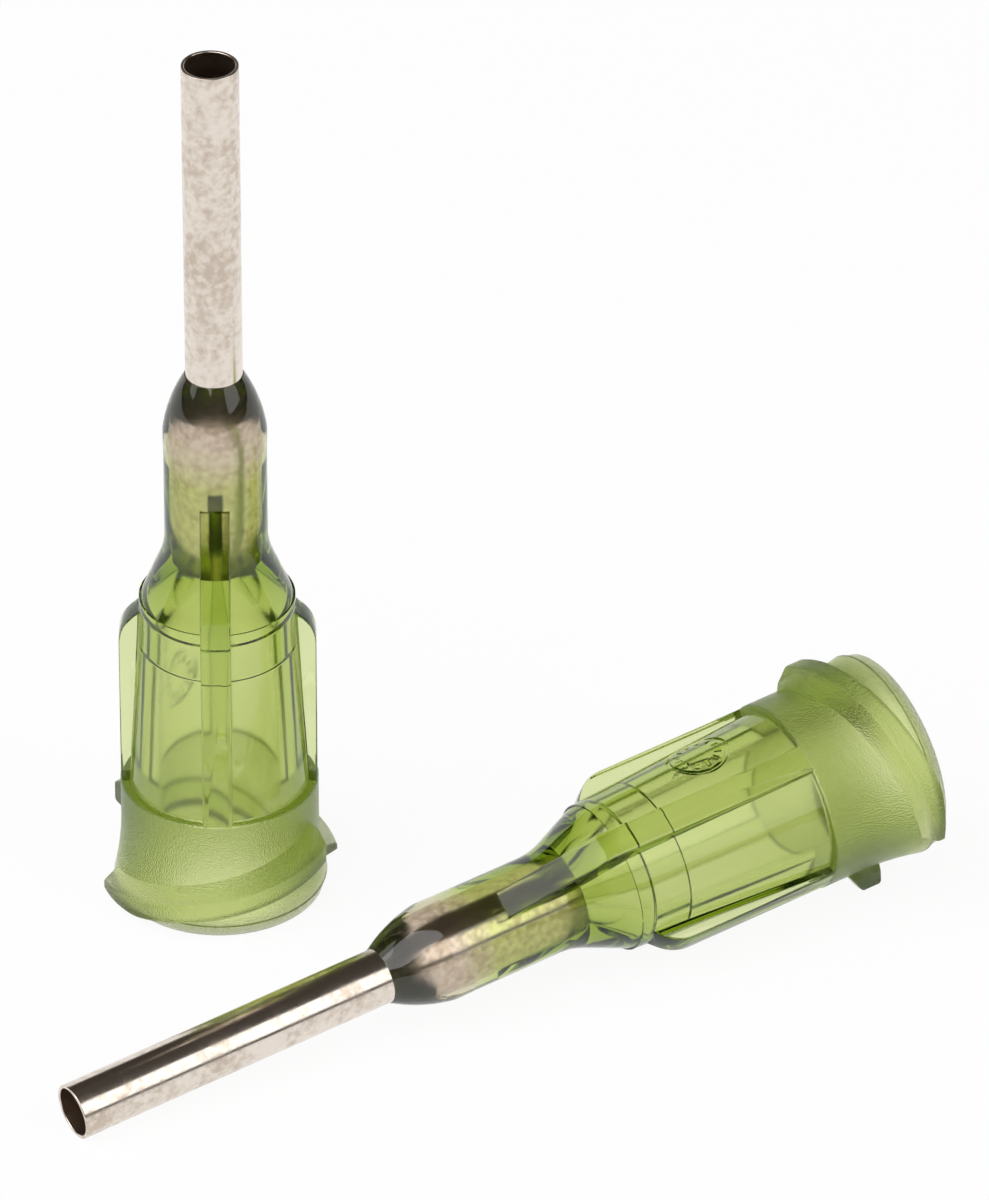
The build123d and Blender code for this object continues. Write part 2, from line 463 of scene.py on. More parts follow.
def fill_clear(tree: bpy.types.NodeTree, skin: bpy.types.Node, colour: str, density: float) -> None:
    """Finish a clear material, whose colour deepens with its thickness.

    Args:
        tree: The material's tree.
        skin: The shader of its surface.
        colour: What the thickness lets through.
        density: Absorption per metre.
    """
    inside = add_node(tree, "ShaderNodeVolumeAbsorption", {"Color": linear(colour), "Density": density})
    sockets = {"Surface": skin.outputs["BSDF"], "Volume": inside.outputs["Volume"]}
    add_node(tree, "ShaderNodeOutputMaterial", sockets)


@dataclass(frozen=True)
class MouldedPolypropylene:
    """Clear polypropylene tinted olive green, injection moulded.

    The cavity of the body and neck is polished, so they come out glossy, and the drawn core pin leaves the
    socket a little duller. The grip end is spark eroded, so the collar, skirt, thread and rim are finely
    frosted, and the base face is dull. Sizes are in millimetres.
    """

    stuff: str = "moulded_polypropylene"
    tint: str = "#FBFCF2"  # what each face holds back
    depth_tint: str = "#DAE486"  # what the thickness lets through
    density: float = 1000.0  # absorption per metre
    ior: float = 1.49
    eroded_from: float = 0.18  # a face rougher than this has the spark erosion's pits
    grain: float = 0.05  # width of a pit, drawn about twice as coarse as it is
    grain_detail: float = 2.0
    pit_depth: float = 0.045  # drawn deeper than it is
    ripple: float = 1.1  # width of the shrinkage waves
    ripple_detail: float = 1.0
    ripple_depth: float = 0.004

    def material(self, name: str, place: Placement) -> bpy.types.Material:
        """Make the material for one tip.

        Args:
            name: The material's name.
            place: Where the tip lies.

        Returns:
            The material.
        """
        material, tree = new_tree(name)
        point = own_coordinates(tree, place)
        matt = add_node(tree, "ShaderNodeAttribute", attribute_name=Mark.MATT.value).outputs["Fac"]
        pits = add_node(
            tree,
            "ShaderNodeTexNoise",
            {"Vector": point, "Scale": per_metre(self.grain), "Detail": self.grain_detail},
        )
        eroded = add_node(tree, "ShaderNodeMath", {0: matt, 1: self.eroded_from}, operation="GREATER_THAN")
        pitted = add_node(
            tree, "ShaderNodeMath", {0: pits.outputs["Fac"], 1: eroded.outputs[0]}, operation="MULTIPLY"
        )
        waves = add_node(
            tree,
            "ShaderNodeTexNoise",
            {"Vector": point, "Scale": per_metre(self.ripple), "Detail": self.ripple_detail},
        )
        wavy = add_node(
            tree,
            "ShaderNodeBump",
            {"Height": waves.outputs["Fac"], "Distance": self.ripple_depth * MILLIMETRE},
        )
        rough = add_node(
            tree,
            "ShaderNodeBump",
            {
                "Height": pitted.outputs[0],
                "Distance": self.pit_depth * MILLIMETRE,
                "Normal": wavy.outputs["Normal"],
            },
        )
        shader = add_node(
            tree,
            "ShaderNodeBsdfPrincipled",
            {
                "Base Color": linear(self.tint),
                "IOR": self.ior,
                "Transmission Weight": 1.0,
                "Roughness": matt,
                "Normal": rough.outputs["Normal"],
                "Alpha": open_share(tree),
            },
        )
        fill_clear(tree, shader, self.depth_tint, self.density)
        return material


@dataclass(frozen=True)
class PassivatedStainless:
    """Type 304 stainless tube, cold drawn and passivated.

    Drawing leaves it bright with fine lines along its length, and the acid bath leaves cloudy, warm patches.
    Sizes are in millimetres.
    """

    stuff: str = "passivated_stainless"
    bright: str = "#E6DCD1"
    clouded: str = "#C8BAAB"
    polish: float = 0.16  # roughness where it is bright
    haze: float = 0.24  # and where it is clouded
    cloud: float = 1.5  # width of a cloudy patch
    cloud_detail: float = 3.0
    cloud_raggedness: float = 0.6
    fleck: float = 0.24  # width of a fleck within a patch
    fleck_detail: float = 2.0
    clear_under: float = 0.13  # the two patterns' product where the steel is bright
    clouded_over: float = 0.42  # and where it is clouded through
    line: float = 0.05  # spacing of the drawing lines, drawn coarser than it is
    line_detail: float = 2.0
    line_stretch: float = 0.04  # the pattern's scale along the tube
    line_depth: float = 0.0012

    def material(self, name: str, place: Placement) -> bpy.types.Material:
        """Make the material for one tip.

        Args:
            name: The material's name.
            place: Where the tip lies.

        Returns:
            The material.
        """
        material, tree = new_tree(name)
        point = own_coordinates(tree, place)
        clouds = add_node(
            tree,
            "ShaderNodeTexNoise",
            {
                "Vector": point,
                "Scale": per_metre(self.cloud),
                "Detail": self.cloud_detail,
                "Roughness": self.cloud_raggedness,
            },
        )
        flecks = add_node(
            tree,
            "ShaderNodeTexNoise",
            {"Vector": point, "Scale": per_metre(self.fleck), "Detail": self.fleck_detail},
        )
        both = add_node(
            tree,
            "ShaderNodeMath",
            {0: clouds.outputs["Fac"], 1: flecks.outputs["Fac"]},
            operation="MULTIPLY",
        )
        patch = add_node(
            tree,
            "ShaderNodeMapRange",
            {"Value": both.outputs[0], "From Min": self.clear_under, "From Max": self.clouded_over},
            interpolation_type="SMOOTHSTEP",
        )
        colour = add_node(
            tree,
            "ShaderNodeMix",
            {0: patch.outputs["Result"], 6: linear(self.bright), 7: linear(self.clouded)},
            data_type="RGBA",
        )
        roughness = add_node(
            tree,
            "ShaderNodeMapRange",
            {"Value": patch.outputs["Result"], "To Min": self.polish, "To Max": self.haze},
        )
        along = add_node(
            tree, "ShaderNodeMapping", {"Vector": point, "Scale": (1.0, 1.0, self.line_stretch)}
        )
        lines = add_node(
            tree,
            "ShaderNodeTexNoise",
            {"Vector": along.outputs["Vector"], "Scale": per_metre(self.line), "Detail": self.line_detail},
        )
        drawn = add_node(
            tree,
            "ShaderNodeBump",
            {"Height": lines.outputs["Fac"], "Distance": self.line_depth * MILLIMETRE},
        )
        shader = add_node(
            tree,
            "ShaderNodeBsdfPrincipled",
            {
                "Base Color": colour.outputs[2],
                "Metallic": 1.0,
                "Roughness": roughness.outputs["Result"],
                "Normal": drawn.outputs["Normal"],
            },
        )
        add_node(tree, "ShaderNodeOutputMaterial", {"Surface": shader.outputs["BSDF"]})
        return material


@dataclass(frozen=True)
class CuredEpoxy:
    """Clear two-part epoxy, dosed into the hub's well and cured in place.

    It sets glossy with a faint smoky tint, and its skin sags a little as it sets. Sizes are in millimetres.
    """

    stuff: str = "cured_epoxy"
    tint: str = "#F8F4EE"
    depth_tint: str = "#C4B08E"
    density: float = 300.0  # absorption per metre
    ior: float = 1.54
    gloss: float = 0.02
    sag: float = 0.55  # width of a sag in its skin
    sag_detail: float = 2.0
    sag_depth: float = 0.006

    def material(self, name: str, place: Placement) -> bpy.types.Material:
        """Make the material for one tip.

        Args:
            name: The material's name.
            place: Where the tip lies.

        Returns:
            The material.
        """
        material, tree = new_tree(name)
        point = own_coordinates(tree, place)
        sags = add_node(
            tree,
            "ShaderNodeTexNoise",
            {"Vector": point, "Scale": per_metre(self.sag), "Detail": self.sag_detail},
        )
        skin = add_node(
            tree,
            "ShaderNodeBump",
            {"Height": sags.outputs["Fac"], "Distance": self.sag_depth * MILLIMETRE},
        )
        shader = add_node(
            tree,
            "ShaderNodeBsdfPrincipled",
            {
                "Base Color": linear(self.tint),
                "IOR": self.ior,
                "Transmission Weight": 1.0,
                "Roughness": self.gloss,
                "Normal": skin.outputs["Normal"],
                "Alpha": open_share(tree),
            },
        )
        fill_clear(tree, shader, self.depth_tint, self.density)
        return material


# ---------------------------------------------------------------- pieces


@dataclass
class CannulaTube:
    """The 14 gauge steel tube. Sizes are in millimetres, and heights are from the hub's base face."""

    radius: float = 0.915
    bore_radius: float = 0.800
    edge: float = 0.03  # deburred edges at the mouth
    entry_taper: float = 0.02  # the bonded length narrows this much to its inner end
    seat: float = 12.15
    bead_top: float = 19.26
    mouth: float = 30.56

    def model(self) -> bpy.types.Object:
        """Model the tube.

        Returns:
            A closed mesh object in the tip's own frame.
        """
        foot_radius = self.radius - self.entry_taper
        corners = [
            Corner(self.bore_radius, self.seat),
            Corner(foot_radius, self.seat),
            Corner(self.radius, self.bead_top),
            Corner(self.radius, self.mouth, self.edge),
            Corner(self.bore_radius, self.mouth, self.edge),
        ]
        return turned("cannula_model", corners, closed=True)


@dataclass
class HubMoulding:
    """The moulded hub. Sizes are in millimetres, and heights are stacked up from its base face."""

    cannula: CannulaTube
    rim_setback: float = 0.11
    rim_height: float = 0.40
    skirt_radius: float = 3.44
    skirt_height: float = 2.25
    skirt_hollow: float = 0.06  # how far its side bows in
    collar_radius: float = 3.19
    collar_height: float = 1.46
    collar_edge: float = 0.08
    body_foot_radius: float = 2.92
    body_top_radius: float = 2.50
    body_height: float = 6.86
    shoulder_step: float = 0.05
    shoulder_slope: float = 22.8  # degrees from the axis
    shoulder_blend: float = 2.6
    neck_radius: float = 1.65
    neck_height: float = 5.73
    edge: float = 0.05  # rounding of a moulded edge
    luer_mouth_radius: float = 2.135
    luer_taper: float = 0.03  # of radius for each millimetre of depth
    luer_depth: float = 8.95
    luer_lead_in: float = 0.12
    relief_step: float = 0.12
    relief_depth: float = 1.25
    funnel_step: float = 0.20
    funnel_length: float = 1.65
    draft: float = 0.02  # change of radius along the relief and the cannula's hole
    socket_clearance: float = 0.015
    well_mouth_wall: float = 0.15
    well_floor_width: float = 0.285
    well_depth: float = 0.98
    rib_thickness: float = 0.96
    rib_setback: float = 0.03
    rib_root: float = 0.45
    rib_edge: float = 0.07
    rib_edge_faces: int = 3
    short_rib_corner: float = -1.02  # from the body's top
    short_rib_end: float = 0.38  # likewise
    short_rib_round: float = 1.3
    tall_rib_corner: float = 0.83  # likewise
    tall_rib_end: float = 1.60  # below the neck's mouth
    tall_rib_stand: float = 0.07  # how far its end stands out from the neck
    tall_rib_round: float = 0.4
    thread_lead: float = 5.0  # rise in a whole turn
    thread_starts: int = 2
    thread_depth: float = 0.46
    thread_land: float = 0.70
    thread_root: float = 0.30
    thread_lower_flank: float = 0.12
    thread_upper_flank: float = 0.42
    thread_first_angle: float = 191.0  # degrees from +X
    thread_span: float = 146.0  # degrees
    thread_foot: float = -0.13  # height of the land's lower edge where it starts
    thread_edge: float = 0.13
    thread_run_in: float = 5.0  # degrees over which each end grows to its full height
    gloss: float = 0.035  # roughness of what the polished cavity leaves
    socket_matt: float = 0.15  # roughness that the drawn core pin leaves
    frost: float = 0.25  # roughness of the spark eroded collar, skirt, thread and rim
    base_matt: float = 1.0  # roughness of the base face, where the stripper plate pushes
    mark_radius: float = 1.05
    mark_line: float = 0.13
    mark_ticks: int = 12
    mark_tick_length: float = 0.24
    mark_depth: float = 0.09
    mark_height: float = 6.8  # of its centre
    mark_angle: float = 135.0  # degrees from +X
    collar_foot: float = field(init=False)
    collar_top: float = field(init=False)
    body_top: float = field(init=False)
    neck_top: float = field(init=False)

    def __post_init__(self) -> None:
        """Stack the heights."""
        self.collar_foot = self.rim_height + self.skirt_height
        self.collar_top = self.collar_foot + self.collar_height
        self.body_top = self.collar_top + self.body_height
        self.neck_top = self.body_top + self.neck_height

    def body_radius(self, height: float) -> float:
        """Return the tapered body's outer radius at a height."""
        share = (height - self.collar_top) / self.body_height
        return self.body_foot_radius + share * (self.body_top_radius - self.body_foot_radius)

    def outside(self) -> bpy.types.Object:
        """Turn the outer form from the base face to the neck's mouth.

        Returns:
            A closed mesh object, solid right through.
        """
        shoulder_radius = self.body_top_radius - self.shoulder_step
        slope = math.tan(math.radians(self.shoulder_slope))
        blend = self.body_top + (shoulder_radius - self.neck_radius) / slope
        rim_radius = self.skirt_radius - self.rim_setback
        return turned(
            "hub_model",
            [
                Corner(0, 0),
                Corner(rim_radius, 0, self.edge),
                Corner(rim_radius, self.rim_height),
                Corner(self.skirt_radius, self.rim_height, 0.0, -self.skirt_hollow),
                Corner(self.collar_radius, self.collar_foot),
                Corner(self.collar_radius, self.collar_top, self.collar_edge),
                Corner(self.body_foot_radius, self.collar_top, self.edge),
                Corner(self.body_top_radius, self.body_top),
                Corner(shoulder_radius, self.body_top),
                Corner(self.neck_radius, blend, self.shoulder_blend),
                Corner(self.neck_radius, self.neck_top),
                Corner(0, self.neck_top),
            ],
            closed=False,
        )

    def passage(self) -> bpy.types.Object:
        """Turn the tool for all that is hollow: socket, relief, funnel, cannula bore and well.

        Returns:
            A closed mesh object that runs past both ends of the hub.
        """
        past = 1.0  # how far the tool runs past both ends
        luer_end = self.luer_mouth_radius - self.luer_taper * self.luer_depth
        lead_in_end = self.luer_mouth_radius - self.luer_taper * self.luer_lead_in
        lead_in_start = self.luer_mouth_radius + self.luer_lead_in
        relief = luer_end - self.relief_step
        relief_top = self.luer_depth + self.relief_depth
        funnel = relief - self.draft - self.funnel_step
        funnel_top = relief_top + self.funnel_length
        socket = self.cannula.radius + self.socket_clearance
        well_floor = self.neck_top - self.well_depth
        well_mouth = self.neck_radius - self.well_mouth_wall
        return turned(
            "passage_tool",
            [
                Corner(0, -past),
                Corner(lead_in_start, -past),
                Corner(lead_in_start, 0),
                Corner(lead_in_end, self.luer_lead_in, self.edge),
                Corner(luer_end, self.luer_depth, self.edge),
                Corner(relief, self.luer_depth, self.edge),
                Corner(relief - self.draft, relief_top, self.edge),
                Corner(funnel, relief_top, self.edge),
                Corner(self.cannula.bore_radius, funnel_top),
                Corner(self.cannula.bore_radius, self.cannula.seat),
                Corner(socket, self.cannula.seat),
                Corner(socket + self.draft, well_floor),
                Corner(self.cannula.radius + self.well_floor_width, well_floor),
                Corner(well_mouth, self.neck_top),
                Corner(well_mouth, self.neck_top + past),
                Corner(0, self.neck_top + past),
            ],
            closed=False,
        )

    def rib(
        self, angle: float, corner: float, end_radius: float, end: float, rounding: float
    ) -> bpy.types.Object:
        """Return one rib that stands along the body and slopes in from its corner.

        Args:
            angle: Where it stands, in degrees from +X.
            corner: Height of its outer corner.
            end_radius: Distance from the axis at which it ends.
            end: Height at which it ends.
            rounding: Radius of its outer corner.

        Returns:
            A closed mesh object.
        """
        reach = self.collar_radius - self.rib_setback
        root = self.body_radius(self.collar_top) - self.rib_root
        neck_root = self.neck_radius - self.rib_root
        points = outline(
            [
                Corner(reach, self.collar_foot),
                Corner(reach, corner, rounding),
                Corner(end_radius, end),
                Corner(neck_root, end),
                Corner(neck_root, self.body_top),
                Corner(root, self.collar_foot),
            ]
        )
        piece = draw_wire("rib_tool", points, closed=True)
        with editing(piece):
            bpy.ops.mesh.select_all(action="SELECT")
            bpy.ops.mesh.edge_face_add()
            bpy.ops.transform.translate(value=(0, -self.rib_thickness / 2, 0))
            bpy.ops.mesh.extrude_region_move(
                TRANSFORM_OT_translate={"value": (0, self.rib_thickness, 0)}
            )
        close_and_turn_out(piece)
        self.round_rib(piece)
        turn_about_axis(piece, angle)
        return piece

    def round_rib(self, piece: bpy.types.Object) -> None:
        """Round the two long outer edges of a rib.

        Args:
            piece: The rib, standing along +X.
        """
        with editing(piece, "EDGE"):
            bpy.ops.mesh.select_all(action="DESELECT")
        for edge in piece.data.edges:
            ends = [piece.data.vertices[i].co for i in edge.vertices]
            lengthwise = abs(ends[0].y - ends[1].y) < MERGE_DISTANCE
            edge.select = lengthwise and all(self.on_rib_outside(end) for end in ends)
        with editing(piece, "EDGE"):
            bpy.ops.mesh.bevel(offset=self.rib_edge, segments=self.rib_edge_faces, affect="EDGES")

    def on_rib_outside(self, point: Vector) -> bool:
        """Say whether a point of a rib's outline lies outside the turned form.

        Args:
            point: The point, on a rib that stands along +X.

        Returns:
            True if it lies outside.
        """
        if point.z <= self.body_top:
            return point.x > self.body_radius(point.z) + MERGE_DISTANCE
        return point.x >= self.neck_radius - MERGE_DISTANCE

    def ribs(self) -> list[bpy.types.Object]:
        """Make the two short ribs and, a quarter turn on, the two tall ones.

        Returns:
            Four closed mesh objects.
        """
        made = []
        for side in (0, 180):
            made.append(
                self.rib(
                    side,
                    self.body_top + self.short_rib_corner,
                    self.neck_radius,
                    self.body_top + self.short_rib_end,
                    self.short_rib_round,
                )
            )
            made.append(
                self.rib(
                    side + 90,
                    self.body_top + self.tall_rib_corner,
                    self.neck_radius + self.tall_rib_stand,
                    self.neck_top - self.tall_rib_end,
                    self.tall_rib_round,
                )
            )
        return made

    def thread_ridge(self, angle: float) -> bpy.types.Object:
        """Return one start of the luer lock thread, cut off level with the rim's top.

        Args:
            angle: Where it starts, in degrees from +X.

        Returns:
            A closed mesh object.
        """
        root = self.skirt_radius - self.thread_root
        crest = self.skirt_radius + self.thread_depth
        middle = self.thread_foot + self.thread_land / 2
        land = self.thread_land / 2
        points = outline(
            [
                Corner(root, middle - land - self.thread_lower_flank),
                Corner(crest, middle - land, self.thread_edge),
                Corner(crest, middle + land, self.thread_edge),
                Corner(root, middle + land + self.thread_upper_flank),
            ]
        )
        ridge = draw_wire("thread_tool", points, closed=True)
        steps = round(TURN_STEPS * self.thread_span / 360)
        apply_modifier(
            ridge,
            "SCREW",
            angle=math.radians(self.thread_span),
            screw_offset=self.thread_lead * self.thread_span / 360,
            steps=steps,
            render_steps=steps,
            axis="Z",
        )
        with editing(ridge, "EDGE"):
            bpy.ops.mesh.select_all(action="DESELECT")
            bpy.ops.mesh.select_non_manifold()
            bpy.ops.mesh.fill_holes(sides=0)
        close_and_turn_out(ridge)
        self.cut_away(ridge, (0, 0, self.rim_height), (0, 0, -1))
        for end, inward in ((0.0, self.thread_run_in), (self.thread_span, -self.thread_run_in)):
            foot = around_axis(self.skirt_radius, end)
            outward = (around_axis(crest, end + inward) - foot).cross(Vector((0, 0, 1)))
            self.cut_away(ridge, foot, outward if outward.dot(foot) > 0 else -outward)
        turn_about_axis(ridge, angle)
        return ridge

    def cut_away(self, piece: bpy.types.Object, point: Sequence[float], away: Sequence[float]) -> None:
        """Cut off the part of a closed piece that lies beyond a plane, and close the cut.

        Args:
            piece: The object to cut.
            point: A point of the plane.
            away: The plane's normal, which points at the part that goes.
        """
        with editing(piece):
            bpy.ops.mesh.select_all(action="SELECT")
            bpy.ops.mesh.bisect(plane_co=point, plane_no=away, use_fill=True, clear_outer=True)
        close_and_turn_out(piece)

    def mould_mark(self) -> bpy.types.Object:
        """Make the tool that sinks the round mark, a ring with ticks inside it, into the body's side.

        Returns:
            A closed mesh object whose inner end follows the tapered body.
        """
        wall = self.body_radius(self.mark_height)
        inner = self.mark_radius - self.mark_line
        tool = turned(
            "mark_tool",
            [
                Corner(inner, 0),
                Corner(self.mark_radius, 0),
                Corner(self.mark_radius, 2 * wall),
                Corner(inner, 2 * wall),
            ],
            closed=True,
        )
        ticks = [self.mark_tick(i * 360 / self.mark_ticks, inner) for i in range(self.mark_ticks)]
        combine(tool, "UNION", ticks)
        select_only(tool)
        tool.rotation_euler.y = math.pi / 2
        tool.location.z = self.mark_height
        bpy.ops.object.transform_apply(location=True, rotation=True, scale=False)
        foot = self.mark_height - 2 * self.mark_radius
        top = self.mark_height + 2 * self.mark_radius
        core = turned(
            "core_tool",
            [
                Corner(0, foot),
                Corner(self.body_radius(foot) - self.mark_depth, foot),
                Corner(self.body_radius(top) - self.mark_depth, top),
                Corner(0, top),
            ],
            closed=False,
        )
        combine(tool, "DIFFERENCE", [core])
        turn_about_axis(tool, self.mark_angle)
        return tool

    def mark_tick(self, angle: float, reach: float) -> bpy.types.Object:
        """Return one tick of the round mark, standing along Z.

        Args:
            angle: Where it points, in degrees from +X.
            reach: Distance from the mark's centre to its outer end.

        Returns:
            A closed mesh object.
        """
        length = self.mark_tick_length
        height = 2 * self.body_radius(self.mark_height)
        deselect_all()
        bpy.ops.mesh.primitive_cube_add(
            size=1, location=(reach - length, 0, height / 2), scale=(length, self.mark_line, height)
        )
        tick = bpy.context.active_object
        bpy.ops.object.transform_apply(location=True, rotation=True, scale=True)
        turn_about_axis(tick, angle)
        return tick

    def model(self) -> bpy.types.Object:
        """Model the hub.

        Returns:
            A closed mesh object in the tip's own frame, with each face's roughness and bond marked.
        """
        hub = self.outside()
        angles = [self.thread_first_angle + i * 360 / self.thread_starts for i in range(self.thread_starts)]
        combine(hub, "UNION", [*self.ribs(), *(self.thread_ridge(angle) for angle in angles)])
        combine(hub, "DIFFERENCE", [self.passage()])
        combine(hub, "DIFFERENCE", [self.mould_mark()])
        mark_faces(hub, Mark.MATT, self.roughness_of)
        mark_faces(hub, Mark.BONDED, self.is_bonded)
        return hub

    def roughness_of(self, centre: Vector, normal: Vector) -> float:
        """Say how rough the mould leaves a face.

        Args:
            centre: The face's centre.
            normal: The face's outward normal.

        Returns:
            The roughness, which is 0 for a mirror.
        """
        if centre.z < self.edge and normal.z < -LIES_FLAT:
            return self.base_matt
        around_socket = centre.xy.length > self.luer_mouth_radius + self.luer_lead_in
        if around_socket and centre.z < self.collar_top + self.edge:
            return self.frost
        faces_axis = centre.xy.dot(normal.xy) < -self.edge
        return self.socket_matt if faces_axis and centre.z < self.cannula.seat else self.gloss

    def is_bonded(self, centre: Vector, normal: Vector) -> bool:
        """Say whether the adhesive wets a face: all of the inside from the cannula's seat up."""
        inside = centre.xy.length < self.neck_radius - self.edge
        return inside and centre.z > self.cannula.seat - self.edge


@dataclass
class AdhesiveBead:
    """The cured adhesive: a plug in the hub's well, a band, and a nose that thins out on the tube.

    Sizes are in millimetres.
    """

    hub: HubMoulding
    lip: float = 0.01  # how far it stands out over the neck's rim
    band: float = 0.58  # straight length over the neck's rim
    length: float = 1.98  # of the nose over that
    bulge: float = 0.105  # how far the nose bows out
    feather: float = 0.02  # thickness at the nose's tip
    bond_gap: float = 0.005  # keeps its faces clear of the hub's and the tube's

    def model(self) -> bpy.types.Object:
        """Model the bead.

        Returns:
            A closed mesh object in the tip's own frame, with its bonded faces marked.
        """
        gap = self.bond_gap
        hub = self.hub
        tube = hub.cannula
        floor = hub.neck_top - hub.well_depth + gap
        mouth = hub.neck_top + gap
        top_inner = tube.radius + gap
        share = (tube.bead_top - floor) / (tube.bead_top - tube.seat)
        floor_inner = top_inner - share * tube.entry_taper
        side = hub.neck_radius + self.lip
        band_top = hub.neck_top + self.band
        corners = [
            Corner(floor_inner, floor),
            Corner(tube.radius + hub.well_floor_width - gap, floor),
            Corner(hub.neck_radius - hub.well_mouth_wall - gap, mouth),
            Corner(side, mouth),
            Corner(side, band_top, 0.0, self.bulge),
            Corner(top_inner + self.feather, band_top + self.length),
            Corner(top_inner, band_top + self.length),
        ]
        bead = turned("adhesive_model", corners, closed=True)
        mark_faces(bead, Mark.BONDED, self.is_bonded)
        return bead

    def is_bonded(self, centre: Vector, normal: Vector) -> bool:
        """Say whether a face touches the hub, or stands upright against the tube.

        Args:
            centre: The face's centre.
            normal: The face's outward normal.

        Returns:
            True if it does.
        """
        in_well = centre.z < self.hub.neck_top + 2 * self.bond_gap
        on_tube = centre.xy.length < self.hub.cannula.radius + self.feather
        return in_well or (on_tube and abs(normal.z) < STANDS_UPRIGHT)


# ---------------------------------------------------------------- assembly


@dataclass
class TipPair:
    """The two tips: their models, their places and their finishes."""

    twin_roll: float = -33.7  # turn of the lying tip's marked side, in degrees
    plastic: MouldedPolypropylene = MouldedPolypropylene()
    steel: PassivatedStainless = PassivatedStainless()
    epoxy: CuredEpoxy = CuredEpoxy()

    def build(self) -> None:
        """Model the three pieces, and set down a finished copy of each in both places."""
        cannula = CannulaTube()
        hub = HubMoulding(cannula)
        models = {
            "hub": (hub.model(), "moulding", "hub_plastic", self.plastic),
            "cannula": (cannula.model(), "tube", "cannula_steel", self.steel),
            "adhesive": (AdhesiveBead(hub).model(), "bead", "adhesive", self.epoxy),
        }
        for tip in Tip:
            place = Placement.of(tip, self.twin_roll if tip is Tip.LYING else 0.0)
            for node, (model, form, slot, finish) in models.items():
                piece = place.set_down(model, f"{tip.value}_{node}_{form}")
                piece.data.materials.clear()
                piece.data.materials.append(finish.material(f"{tip.value}_{finish.stuff}", place))
                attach(piece, f"{tip.value}_tip")
                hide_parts(f"{tip.value}_{node}")
                log.info("%s: %d faces", piece.name, len(piece.data.polygons))
        for model, *_ in models.values():
            bpy.data.objects.remove(model)


# ---------------------------------------------------------------- studio


@dataclass(frozen=True)
class Softbox:
    """One soft lamp that faces the object.

    Args:
        name: The lamp's name.
        way: Way from the object to the lamp.
        size: Its width and height, in metres.
        level: Its brightness, where 1 looks white.
    """

    name: str
    way: tuple[float, float, float]
    size: tuple[float, float]
    level: float

    def hang(self, aim: Vector, away: float) -> None:
        """Hang the lamp.

        Args:
            aim: The point that it faces.
            away: Distance from that point, in metres.
        """
        way = Vector(self.way).normalized()
        deselect_all()
        bpy.ops.object.light_add(type="AREA", location=aim + way * away)
        lamp = bpy.context.active_object
        lamp.name = self.name
        lamp.rotation_euler = way.to_track_quat("Z", "Y").to_euler()
        lamp.data.shape = "RECTANGLE"
        lamp.data.size, lamp.data.size_y = self.size
        lamp.data.energy = self.level * math.pi * self.size[0] * self.size[1]


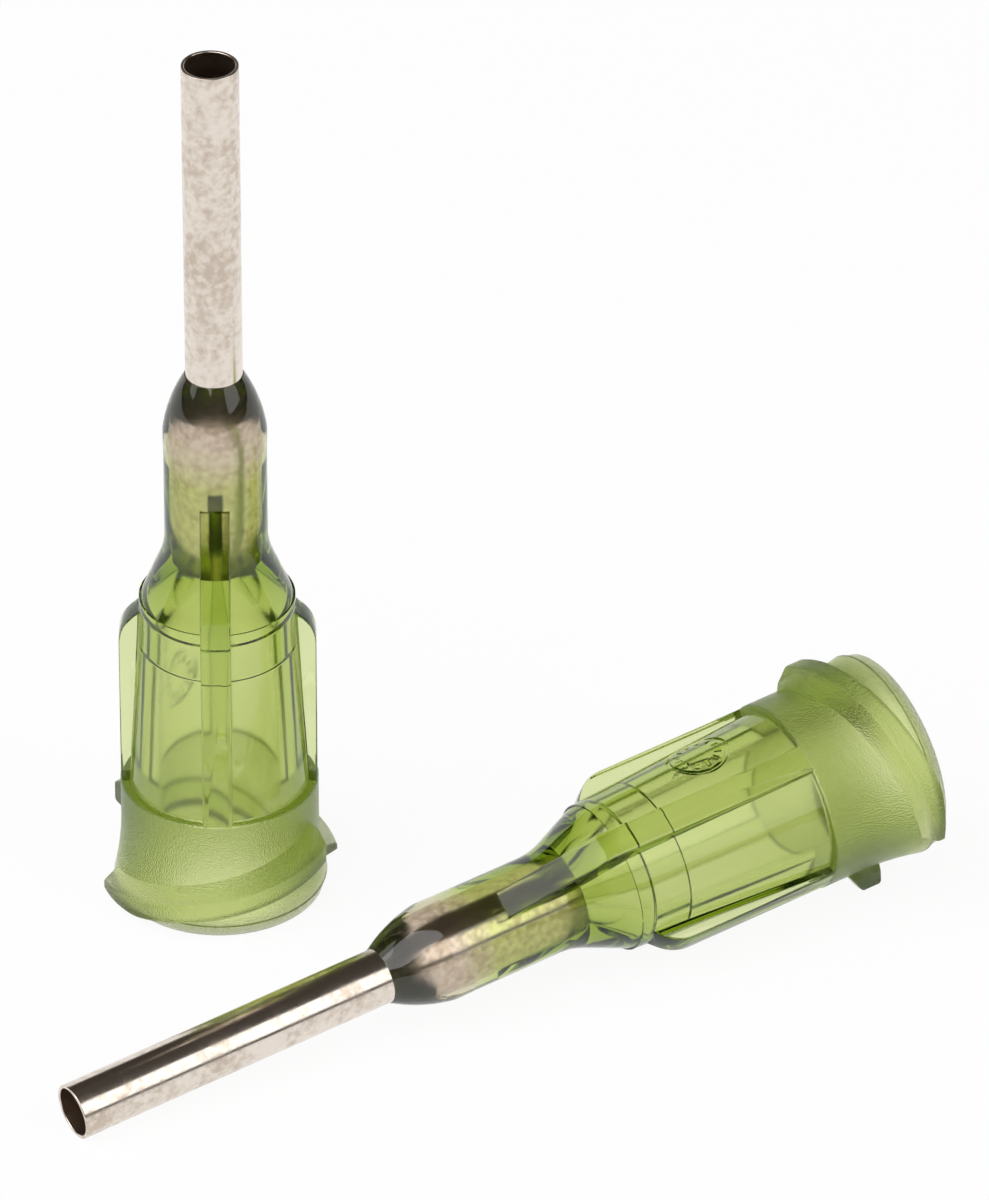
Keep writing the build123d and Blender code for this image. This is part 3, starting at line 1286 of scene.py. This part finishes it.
@dataclass
class Studio:
    """A white table, soft lamps and the camera. Lengths are in metres."""

    table_size: float = 6.0
    table_drop: float = 0.00001  # keeps the table clear of the hub's base face
    paper: str = "#FFFFFF"
    glow: float = 0.93  # how much of the paper's look is its own white, the rest is lit
    backdrop_away: float = 0.55
    backdrop_width: float = 1.8
    backdrop_height: float = 0.28
    softboxes: tuple[Softbox, ...] = (
        Softbox("right_softbox", (0.72, -0.42, 0.55), (0.50, 0.50), 1.7),
        Softbox("left_softbox", (-0.80, -0.10, 0.55), (0.40, 0.45), 1.6),
        Softbox("front_softbox", (-0.35, -0.45, 0.82), (0.60, 0.60), 2.6),
    )
    lamp_away: float = 0.6
    lamp_aim_height: float = 0.01
    room: str = "#F4E4D4"
    room_level: float = 0.06
    sky: str = "#FFFFFF"  # what the camera sees past the table
    target: Vector = field(default_factory=lambda: Vector((0.008849, 0.016467, 0.0)))
    distance: float = 0.430
    elevation: float = 33.07  # degrees above the table
    lens: float = 385.8  # millimetres, on a 36 mm sensor
    clip_start: float = 0.043

    def white_paper(self) -> bpy.types.Material:
        """Make the paper's material, which looks white to the eye and still shows the object's shadow.

        Returns:
            The material.
        """
        material, tree = new_tree("white_paper")
        path = add_node(tree, "ShaderNodeLightPath")
        seen = add_node(
            tree,
            "ShaderNodeMath",
            {0: path.outputs["Is Camera Ray"], 1: path.outputs["Is Glossy Ray"]},
            operation="MAXIMUM",
        )
        seen = add_node(
            tree,
            "ShaderNodeMath",
            {0: seen.outputs[0], 1: path.outputs["Is Transmission Ray"]},
            operation="MAXIMUM",
        )
        share = add_node(
            tree, "ShaderNodeMath", {0: seen.outputs[0], 1: self.glow}, operation="MULTIPLY"
        )
        lit = add_node(tree, "ShaderNodeBsdfDiffuse", {"Color": linear(self.paper)})
        white = add_node(tree, "ShaderNodeEmission", {"Color": linear(self.paper), "Strength": 1.0})
        look = add_node(
            tree,
            "ShaderNodeMixShader",
            {0: share.outputs[0], 1: lit.outputs["BSDF"], 2: white.outputs["Emission"]},
        )
        add_node(tree, "ShaderNodeOutputMaterial", {"Surface": look.outputs["Shader"]})
        return material

    def table(self, paper: bpy.types.Material) -> None:
        """Lay the white table.

        Args:
            paper: The paper's material.
        """
        deselect_all()
        bpy.ops.mesh.primitive_plane_add(size=self.table_size, location=(0, 0, -self.table_drop))
        table = bpy.context.active_object
        table.name = "table"
        table.data.materials.append(paper)

    def backdrop(self, paper: bpy.types.Material) -> None:
        """Stand the white backdrop behind the object, which clear plastic shows in its edges.

        Args:
            paper: The paper's material.
        """
        deselect_all()
        bpy.ops.mesh.primitive_plane_add(
            size=1,
            location=(self.target.x, self.backdrop_away, self.backdrop_height / 2),
            rotation=(math.pi / 2, 0, 0),
        )
        backdrop = bpy.context.active_object
        backdrop.name = "backdrop"
        backdrop.scale = (self.backdrop_width, self.backdrop_height, 1)
        bpy.ops.object.transform_apply(location=True, rotation=True, scale=True)
        backdrop.data.materials.append(paper)
        backdrop.visible_camera = False  # so it hides nothing from a camera that stands behind it

    def lamps(self) -> None:
        """Hang the lamps and set the room's own dim light."""
        for softbox in self.softboxes:
            softbox.hang(Vector((self.target.x, 0, self.lamp_aim_height)), self.lamp_away)
        world = bpy.data.worlds.new("room")
        bpy.context.scene.world = world
        world.use_nodes = True
        tree = world.node_tree
        tree.nodes.clear()
        room = add_node(
            tree, "ShaderNodeBackground", {"Color": linear(self.room), "Strength": self.room_level}
        )
        path = add_node(tree, "ShaderNodeLightPath")
        sky = add_node(tree, "ShaderNodeBackground", {"Color": linear(self.sky), "Strength": 1.0})
        look = add_node(
            tree,
            "ShaderNodeMixShader",
            {
                0: path.outputs["Is Camera Ray"],
                1: room.outputs["Background"],
                2: sky.outputs["Background"],
            },
        )
        add_node(tree, "ShaderNodeOutputWorld", {"Surface": look.outputs["Shader"]})

    def camera(self) -> None:
        """Place the camera."""
        slope = math.radians(self.elevation)
        back = Vector((0, -math.cos(slope), math.sin(slope)))
        deselect_all()
        bpy.ops.object.camera_add(location=self.target + back * self.distance)
        camera = bpy.context.active_object
        camera.rotation_euler = back.to_track_quat("Z", "Y").to_euler()
        camera.data.lens = self.lens
        camera.data.clip_start = self.clip_start
        bpy.context.scene.camera = camera

    def build(self) -> None:
        """Set up the table, lamps, camera and the plain colour view."""
        paper = self.white_paper()
        self.table(paper)
        self.backdrop(paper)
        self.lamps()
        self.camera()
        scene = bpy.context.scene
        scene.view_settings.view_transform = "Standard"
        scene.cycles.max_bounces = 32
        scene.cycles.glossy_bounces = 16
        scene.cycles.transmission_bounces = 32
        scene.cycles.transparent_max_bounces = 48


def main() -> None:
    """Build the studio and the pair of tips."""
    logging.basicConfig(level=logging.INFO, format="%(name)s: %(message)s")
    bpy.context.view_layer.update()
    Studio().build()
    TipPair().build()


if __name__ == "__main__":
    main()
